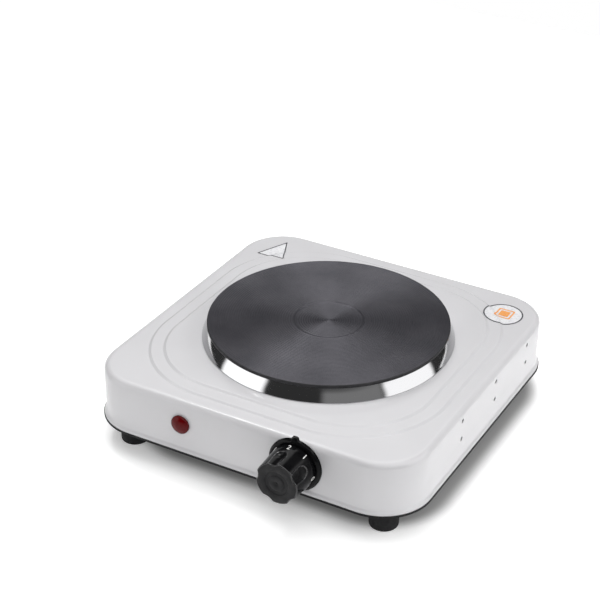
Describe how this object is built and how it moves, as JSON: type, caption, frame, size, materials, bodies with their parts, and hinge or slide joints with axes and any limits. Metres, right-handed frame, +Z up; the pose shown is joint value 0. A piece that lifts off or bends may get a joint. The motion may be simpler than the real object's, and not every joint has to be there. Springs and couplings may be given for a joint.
{
  "type": "hot plate burner",
  "caption": "Free-standing single-plate electric cooker: white enamelled housing on feet, clamped cast-iron plate in a steel trim ring, rotary thermostat knob, pilot lamp and cord gland.",
  "frame": {"origin": "centre of the whole object's box in X and Y, on the table that the feet stand on", "axes": "+Z up, the control front faces -Y, +X to the right seen from the front"},
  "size_m": [0.2258, 0.253, 0.0671],
  "materials": {
    "enamel": "glossy white enamel with a slight orange peel",
    "black_steel": "satin black paint",
    "zinc_steel": "zinc plated",
    "rubber": "matt moulded rubber",
    "cast_iron": "turned and blackened, fine concentric grooves",
    "stainless": "polished stainless steel",
    "aluminised": "aluminised sheet",
    "ceramic": "unglazed steatite",
    "coil_wire": "oxidised resistance wire",
    "brass": "plain brass",
    "black_gloss": "glossy moulded phenolic",
    "black_plastic": "matt moulded nylon",
    "red_lens": "clear deep red moulding",
    "lamp_glass": "clear glass neon bulb",
    "wire_brown": "silicone sleeve",
    "wire_blue": "silicone sleeve",
    "wire_green": "silicone sleeve",
    "label": "printed film label without text"
  },
  "bodies": {
    "body": {"housing": "enamel", "base_plate": "black_steel", "base_posts": "zinc_steel", "foot_front_left": "rubber", "foot_front_right": "rubber", "foot_rear_left": "rubber", "foot_rear_right": "rubber", "foot_screws": "zinc_steel", "cast_plate": "cast_iron", "trim_ring": "stainless", "insulation_ring": "ceramic", "heating_coil_outer": "coil_wire", "heating_coil_inner": "coil_wire", "plate_cover": "zinc_steel", "centre_stud": "zinc_steel", "clamp_bar": "zinc_steel", "clamp_washer": "zinc_steel", "clamp_nut": "zinc_steel", "heat_shield": "aluminised", "plate_terminal_block": "ceramic", "plate_terminal_screws": "brass", "thermostat_bracket": "zinc_steel", "thermostat_bush": "brass", "thermostat_base": "ceramic", "thermostat_blades": "brass", "bimetal_strip": "zinc_steel", "thermostat_terminals": "brass", "thermostat_screws": "zinc_steel", "dial_bezel": "black_gloss", "pilot_lens": "red_lens", "neon_lamp": "lamp_glass", "lamp_clip": "zinc_steel", "mains_terminal_block": "ceramic", "mains_terminal_screws": "brass", "cord_gland": "black_plastic", "gland_nut": "black_plastic", "cord_clamp": "black_plastic", "cord_clamp_screws": "zinc_steel", "earth_stud": "zinc_steel", "earth_nut": "zinc_steel", "earth_tag": "brass", "wire_live": "wire_brown", "wire_switched": "wire_brown", "wire_neutral": "wire_blue", "wire_earth": "wire_green", "wire_lamp_live": "wire_brown", "wire_lamp_neutral": "wire_blue", "label_round": "label", "label_triangle": "label"},
    "control": {"knob": "black_gloss", "control_shaft": "zinc_steel", "knob_spring": "zinc_steel"}
  },
  "joints": [
    {"name": "knob_turn", "type": "hinge", "parent": "body", "child": "control", "pos_m": [0.0392, -0.11, 0.0378], "axis": [0, -1, 0], "range_deg": [-134, 98]}
  ]
}
